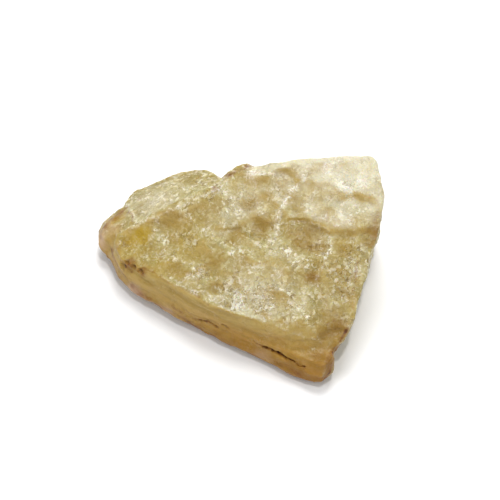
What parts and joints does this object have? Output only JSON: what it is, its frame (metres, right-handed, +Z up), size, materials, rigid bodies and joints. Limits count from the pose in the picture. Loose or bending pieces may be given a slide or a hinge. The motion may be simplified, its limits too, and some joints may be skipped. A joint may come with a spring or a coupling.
{
  "type": "rough sapphire",
  "caption": "Rough sapphire lying flat: a broken, cloudy pale yellow crystal with a ledged broad face, a layered front side and a thin slab behind.",
  "frame": {"origin": "middle of the stone's box, on the surface that it lies on", "axes": "+X along the stone's longest side, from the thin left tip to the thick right end; +Y to the back; +Z up out of the flat underside"},
  "size_m": [0.0514, 0.0424, 0.0203],
  "materials": {
    "crystal": "cloudy, see-through only at thin edges, broken faces part glossy and part frosted"
  },
  "bodies": {
    "root": {"stone": "crystal"}
  },
  "joints": []
}
